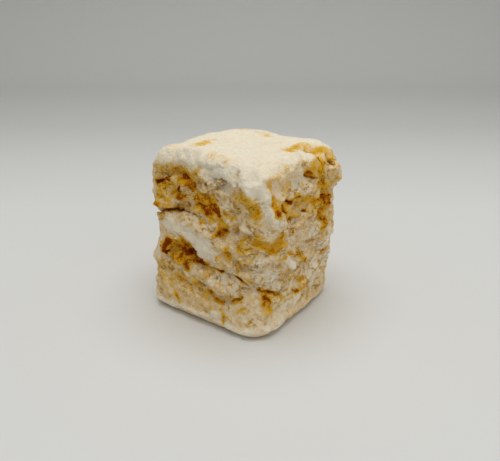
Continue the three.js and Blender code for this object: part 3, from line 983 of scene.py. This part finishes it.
def either(*shares):
    """Shares of cover put together, so that the sum stays under 1."""
    bare = 1
    for share in shares:
        bare = bare * (1 - np.clip(share, 0, 1))
    return 1 - bare


painted = stroke_sum(warped, face_normals, CARAMEL)
dust = stroke_sum(warped, face_normals, POWDER)
tan = stroke_sum(warped, face_normals, GROUND)
depth = -grid.sample(smooth, places)
crumb_tint = grid.sample(tint, places)
streak = grid.sample(marble, warped)
seep = smoothstep(grid.sample(seeps, places), -0.6, 1)
speckle = grid.sample(mottles, places)
breaks = grid.sample(mottles, 0.6 * places)
wide_valley = seam(grid.sample(wide_fold, places))
small_valley = seam(0.7 * grid.sample(small_fold, places))
sides = 1 - upwards
normals = vertex_normals(places, quads)
# How far each corner lies in a hollow, at a fine and a wider scale. Hollows get more caramel and less white and
# crests more white: partly sugar on the crests and caramel in the hollows, partly painted shade in the hollows
# and painted light on the crests.
nook = np.clip(hollowness(places, quads, normals, 2) / NOOK, -1.5, 1.5)
dip = np.clip(hollowness(places, quads, normals, 8) / DIP, -1.5, 1.5)
lumps = 0.5 * (large_value - 0.5) + 0.5 * (middle_value - 0.5) + 0.3 * (fine_value - 0.5)
stain = painted * np.clip(0.97 + 0.18 * speckle + 0.4 * lumps, 0.6, 1.3)
ground = 0.05 + tan + 0.22 * lumps + 0.04 * streak + 0.05 * speckle - 0.04 * layers
caramel = either(
    stain,
    sides * np.clip(ground, 0, 0.6) * (1 - 0.6 * dust),
    crumb * (0.1 + 0.25 * seep) * wide_valley,
    crumb * (0.05 + 0.15 * seep) * small_valley,
    crumb * (0.2 + 0.4 * seep) * pore,
    crumb * 0.4 * seam(0.8 * large_gap) * smoothstep(breaks, 0, 0.5),
    crumb * 0.3 * seam(middle_gap) * smoothstep(-breaks, 0.1, 0.6),
    0.15 * crumb_tint,
    # more caramel the deeper a place lies below the smooth block: partly caramel stain, partly painted shade
    0.2 * smoothstep(depth, 0.5, 1.5),
# more caramel in hollows: partly caramel, partly painted shade
) + sides * (0.02 * nook + 0.06 * dip)
speck = smoothstep(fine_value, 0.75, 0.95) * smoothstep(fine_gap, 0.1, 0.4)
# less white in hollows and more on crests: partly sugar, partly painted shade and light
powder = 0.3 * speck - 0.6 * lumps - 0.12 * nook - 0.2 * dip - 0.3 * pore
white = np.maximum(white * (0.8 + 0.1 * speckle), 0.9 * upwards)
white = white + dust - 0.3 * np.minimum(crumb_tint, 0) + crumb * powder
white = white + 0.17 * crumb - 1.3 * stain - 0.5 * tan
# less white in the troughs of the top's wrinkles: painted shade
white = white - 0.15 * upwards * smoothstep(-wrinkle, 0.3, 1.6)
# Deep in cracks and hollows the colour turns dark red-brown: partly caramel stain, partly painted shade where
# little light reaches.
deep = smoothstep(depth, 0.9, 2)
crease = crumb * sides * np.clip(1 - 1.2 * painted, 0.2, 1)


def new_object(name, data):
    thing = bpy.data.objects.new(name, data)
    bpy.context.scene.collection.objects.link(thing)
    return thing


def make_mesh(name, places, faces, attributes, smooth=True):
    mesh = bpy.data.meshes.new(name)
    mesh.from_pydata(((places + FOOT) * MM).tolist(), [], faces.tolist())
    for key, values in attributes.items():
        mesh.attributes.new(key, "FLOAT", "POINT").data.foreach_set("value", values.astype(np.float32))
    mesh.polygons.foreach_set("use_smooth", np.full(len(mesh.polygons), smooth))
    mesh.update()
    return new_object(name, mesh)


# Materials

class Nodes:
    """A short way to add nodes to a material or a world and link them."""

    def __init__(self, owner, shader="Principled BSDF"):
        owner.use_nodes = True
        self.owner = owner
        self.tree = owner.node_tree
        self.shader = self.tree.nodes[shader]

    def add(self, kind, inputs, **settings):
        node = self.tree.nodes.new(kind)
        for key, value in settings.items():
            setattr(node, key, value)
        self.set(node, inputs)
        return node

    def set(self, node, inputs):
        """Links the inputs that are sockets, and sets the others on their own sockets."""
        for key, value in inputs.items():
            if isinstance(value, bpy.types.NodeSocket):
                self.tree.links.new(value, node.inputs[key])
            else:
                node.inputs[key].default_value = value

    def attribute(self, name):
        return self.add("ShaderNodeAttribute", {}, attribute_name=name).outputs["Fac"]

    def coordinates(self, kind="Object"):
        return self.add("ShaderNodeTexCoord", {}).outputs[kind]

    def noise(self, scale, detail=3.0, roughness=0.6):
        """Noise from 0 to 1, with this many waves per millimetre."""
        inputs = {"Vector": self.coordinates(), "Scale": scale / MM, "Detail": detail, "Roughness": roughness}
        return self.add("ShaderNodeTexNoise", inputs).outputs["Fac"]

    def creases(self, lengths, width):
        """Thin wavy lines that run along the leaning layers, as shares from 0 to 1."""
        inputs = {"Vector": self.coordinates(), "Rotation": (LEAN, LEAN, 0), "Scale": [k * MM for k in lengths]}
        along = self.add("ShaderNodeMapping", inputs, vector_type="TEXTURE").outputs["Vector"]
        waves = self.add("ShaderNodeTexNoise", {"Vector": along, "Scale": 1.0, "Detail": 3.0}).outputs["Fac"]
        away = self.math("ABSOLUTE", self.math("SUBTRACT", waves, 0.5), 0.0)
        return self.fade(away, 0, width, 1, 0)

    def fade(self, value, low, high, first=0, last=1):
        """Passes from a first to a last value where the given value goes from low to high."""
        inputs = {"Value": value, "From Min": low, "From Max": high, "To Min": first, "To Max": last}
        return self.add("ShaderNodeMapRange", inputs, interpolation_type="SMOOTHSTEP").outputs["Result"]

    def math(self, operation, a, b):
        return self.add("ShaderNodeMath", {0: a, 1: b}, operation=operation).outputs[0]

    def weighed(self, value, *terms):
        """A value with other values added to it, each by its weight."""
        for term, weight in terms:
            value = self.math("ADD", value, self.math("MULTIPLY", term, weight))
        return value

    def mix(self, share, a, b):
        return self.add("ShaderNodeMix", {"Factor": share, "A": a, "B": b}, data_type="RGBA").outputs["Result"]

    def ramp(self, value, stops):
        """Colours along a value. Each stop is a position, red, green and blue."""
        node = self.add("ShaderNodeValToRGB", {"Fac": value})
        elements = node.color_ramp.elements
        while len(elements) < len(stops):
            elements.new(0.5)
        for element, (position, *tone) in zip(elements, stops):
            element.position = position
            element.color = (*tone, 1)
        return node.outputs["Color"]


CREAMS = [(0.32, 0.83, 0.735, 0.56), (0.62, 0.92, 0.835, 0.665)]
# Dark red-brown of deep places: partly caramel stain, partly painted shade
CREVICE_BROWN_AND_SHADE = (0.16, 0.022, 0.003, 1)
CARAMELS = [
    (0, 0.91, 0.73, 0.48),
    (0.16, 0.84, 0.62, 0.34),
    (0.32, 0.79, 0.53, 0.2),
    (0.48, 0.79, 0.48, 0.075),
    (0.62, 0.75, 0.405, 0.02),
    (0.76, 0.66, 0.3, 0.005),
    (0.88, 0.45, 0.132, 0.002),
    (1, 0.24, 0.032, 0.001),
]
POWDER_COVER = [(0.1, 0, 0, 0), (0.8, 1, 1, 1)]
CARAMEL_ROUGHNESS = [(0.4, 0.9, 0.9, 0.9), (0.9, 0.55, 0.55, 0.55)]
SUGAR_TONES = [(0.3, 0.8, 0.7, 0.53), (0.65, 0.9, 0.84, 0.72)]
CREASE_LENGTHS = (1.7, 1.7, 0.8)
CREASE_WIDTH = 0.045
CREASE_BREAKS = (0.42, 0.54)
BUMP_HEIGHT = 0.35


def marshmallow_material():
    nodes = Nodes(bpy.data.materials.new("caramel_marshmallow"))
    spread = nodes.math("SUBTRACT", nodes.noise(0.9, 4.0, 0.65), 0.5)
    fine = nodes.math("SUBTRACT", nodes.noise(3.2, 2.0, 0.7), 0.5)
    crease = nodes.math("MULTIPLY", nodes.creases(CREASE_LENGTHS, CREASE_WIDTH), nodes.attribute("crease"))
    for scale in (0.22, 0.6):
        crease = nodes.math("MULTIPLY", crease, nodes.fade(nodes.noise(scale, 1.0), *CREASE_BREAKS))
    sugar = nodes.weighed(nodes.attribute("caramel"), (spread, 0.9), (fine, 0.7), (crease, 0.55))
    powder = nodes.weighed(nodes.attribute("white"), (spread, -1.1), (fine, -1.45), (crease, -1.0))
    cream = nodes.ramp(nodes.noise(1.3, 4.0, 0.75), CREAMS)
    body = nodes.mix(nodes.ramp(powder, POWDER_COVER), nodes.ramp(sugar, CARAMELS), cream)
    height = nodes.weighed(nodes.noise(1.6, 3.0, 0.7), (crease, -0.5))
    bump = nodes.add("ShaderNodeBump", {"Height": height, "Strength": 1.0, "Distance": BUMP_HEIGHT * MM})
    nodes.set(nodes.shader, {
        # deep places turn dark red-brown: partly caramel stain, partly painted shade
        "Base Color": nodes.mix(nodes.attribute("deep"), body, CREVICE_BROWN_AND_SHADE),
        "Roughness": nodes.ramp(sugar, CARAMEL_ROUGHNESS),
        "Subsurface Weight": 0.08,
        "Subsurface Radius": (1.0, 0.55, 0.3),
        "Subsurface Scale": 0.6 * MM,
        "Specular IOR Level": 0.05,
        "Normal": bump.outputs["Normal"],
    })
    return nodes.owner


def thin_out(piece, triangles):
    """Collapses the flattest edges until the piece has the wanted number of triangles."""
    piece.modifiers.new("thin", "DECIMATE").ratio = triangles / (2 * len(piece.data.polygons))
    graph = bpy.context.evaluated_depsgraph_get()
    full = piece.data
    piece.data = bpy.data.meshes.new_from_object(
        piece.evaluated_get(graph), preserve_all_data_layers=True, depsgraph=graph
    )
    piece.modifiers.clear()
    bpy.data.meshes.remove(full)


marshmallow = make_mesh(
    "marshmallow_block", places, quads, {"white": white, "caramel": caramel, "deep": deep, "crease": crease}
)
thin_out(marshmallow, TRIANGLES)
marshmallow.data.materials.append(marshmallow_material())
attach(marshmallow, "root")
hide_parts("marshmallow")


# Sugar grains that stick to the crumbs

GRAINS = 1000
GRAIN_HALF = (0.1, 0.24)
GRAIN_SLIMNESS = (0.75, 1)
GRAIN_RISE = 0.5
CUBE_CORNERS = np.array(list(np.ndindex(2, 2, 2))) * 2 - 1
CUBE_FACES = np.array([(0, 1, 3, 2), (4, 6, 7, 5), (0, 4, 5, 1), (2, 3, 7, 6), (0, 2, 6, 4), (1, 5, 7, 3)])


def sugar_material():
    nodes = Nodes(bpy.data.materials.new("sugar_crystal"))
    nodes.set(nodes.shader, {
        "Base Color": nodes.ramp(nodes.noise(0.7), SUGAR_TONES),
        "Roughness": 0.6,
        "Specular IOR Level": 0.2,
        "Subsurface Weight": 0.3,
        "Subsurface Scale": 0.2 * MM,
    })
    return nodes.owner


def turns(count):
    """Random rotations, as matrices."""
    w, x, y, z = unit(rng.standard_normal((count, 4))).T
    rows = [
        [1 - 2 * (y * y + z * z), 2 * (x * y - w * z), 2 * (x * z + w * y)],
        [2 * (x * y + w * z), 1 - 2 * (x * x + z * z), 2 * (y * z - w * x)],
        [2 * (x * z - w * y), 2 * (y * z + w * x), 1 - 2 * (x * x + y * y)],
    ]
    return np.moveaxis(np.array(rows), 2, 0)


chance = crumb * (0.2 + 2 * dust) * (nook < 0.3) * (places[:, 2] > 1) * np.clip(1 - 2.5 * painted, 0, 1)
seats = rng.choice(len(places), GRAINS, replace=False, p=chance / chance.sum())
halves = rng.uniform(*GRAIN_HALF, (GRAINS, 1)) * rng.uniform(*GRAIN_SLIMNESS, (GRAINS, 3))
corners = np.einsum("nij,nkj->nki", turns(GRAINS), CUBE_CORNERS * halves[:, None])
corners = corners + (places[seats] + GRAIN_RISE * normals[seats] * halves)[:, None]
cubes = (np.arange(GRAINS)[:, None, None] * 8 + CUBE_FACES).reshape(-1, 4)
grains = make_mesh("sugar_grains", corners.reshape(-1, 3), cubes, {}, smooth=False)
grains.data.materials.append(sugar_material())
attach(grains, "root")


# Stage: a pale sweep, soft light from above, and the photograph's camera

SWEEP_FRONT = -500
SWEEP_START = 320
SWEEP_STEP = 20
SWEEP_RADIUS = 100
SWEEP_BENDS = 12
SWEEP_HEIGHT = 900
SWEEP_HALF_WIDTH = 700
# Tones of the sweep from the floor near the block to its far wall: darker towards the wall, which is painted
# shade
SWEEP_TONES_WITH_PAINTED_SHADE = [(0.2, 0.73), (0.4, 0.67), (0.6, 0.59), (0.85, 0.57)]
SWEEP_BLUE = 0.97
SKY = [(0, 0.45, 0.45, 0.44), (0.8, 1, 1, 0.98)]
SKY_STRENGTH = 0.54
RIGHTWARDS = Vector((VIEW_COSINE, VIEW_SINE, 0))
VIEWWARDS = Vector((VIEW_SINE, -VIEW_COSINE, 0))


def make_stage():
    profile = [(along, 0) for along in range(SWEEP_FRONT, SWEEP_START + 1, SWEEP_STEP)]
    for k in range(1, SWEEP_BENDS + 1):
        angle = math.radians(90) * k / SWEEP_BENDS
        height = SWEEP_RADIUS * (1 - math.cos(angle))
        profile.append((SWEEP_START + SWEEP_RADIUS * math.sin(angle), height))
    profile.append((SWEEP_START + SWEEP_RADIUS, SWEEP_HEIGHT))
    places = [
        RIGHTWARDS * side - VIEWWARDS * along + Vector((0, 0, height))
        for along, height in profile
        for side in (-SWEEP_HALF_WIDTH, SWEEP_HALF_WIDTH)
    ]
    faces = np.array([(2 * k, 2 * k + 1, 2 * k + 3, 2 * k + 2) for k in range(len(profile) - 1)])
    far = np.repeat([min(max(along / SWEEP_START, 0), 1) for along, _ in profile], 2)
    sweep = make_mesh("sweep", np.array(places) - FOOT, faces, {"far": far})
    nodes = Nodes(bpy.data.materials.new("pale_sweep"))
    # the sweep is painted darker towards its far wall: painted shade
    tones = [(share, tone, tone, SWEEP_BLUE * tone) for share, tone in SWEEP_TONES_WITH_PAINTED_SHADE]
    nodes.set(nodes.shader, {
        "Base Color": nodes.ramp(nodes.attribute("far"), tones),
        "Roughness": 0.8,
        "Specular IOR Level": 0.2,
    })
    sweep.data.materials.append(nodes.owner)


def add_area(name, place, aim, size, power):
    light = bpy.data.lights.new(name, "AREA")
    light.shape = "DISK"
    light.size = size * MM
    light.energy = power
    lamp = new_object(name, light)
    lamp.location = Vector(place) * MM
    lamp.rotation_euler = (Vector(aim) * MM - lamp.location).to_track_quat("-Z", "Y").to_euler()


def make_lights():
    add_area("overhead", (0, 10, 420), (0, 0, 10), size=420, power=0.95)
    add_area("side", (420, -120, 160), (0, 0, 15), size=300, power=0.18)
    nodes = Nodes(bpy.data.worlds.new("room"), "Background")
    direction = nodes.coordinates("Generated")
    upwards = nodes.add("ShaderNodeSeparateXYZ", {"Vector": direction}).outputs["Z"]
    nodes.set(nodes.shader, {"Color": nodes.ramp(upwards, SKY), "Strength": SKY_STRENGTH})
    bpy.context.scene.world = nodes.owner


def make_camera():
    camera = bpy.data.cameras.new("camera")
    camera.lens = FOCAL_LENGTH
    camera.sensor_width = SENSOR_WIDTH
    camera.sensor_fit = "HORIZONTAL"
    camera.clip_start = 0.01
    towards = VIEWWARDS * math.cos(VIEW_ELEVATION) + Vector((0, 0, math.sin(VIEW_ELEVATION)))
    aim = Vector(FOOT) + RIGHTWARDS * VIEW_AIM_RIGHT + Vector((0, 0, VIEW_AIM_HEIGHT))
    eye = new_object("camera", camera)
    eye.location = (aim + towards * VIEW_DISTANCE) * MM
    eye.rotation_euler = towards.to_track_quat("Z", "Y").to_euler()
    bpy.context.scene.camera = eye


make_stage()
make_lights()
make_camera()
bpy.context.scene.view_settings.view_transform = "Standard"
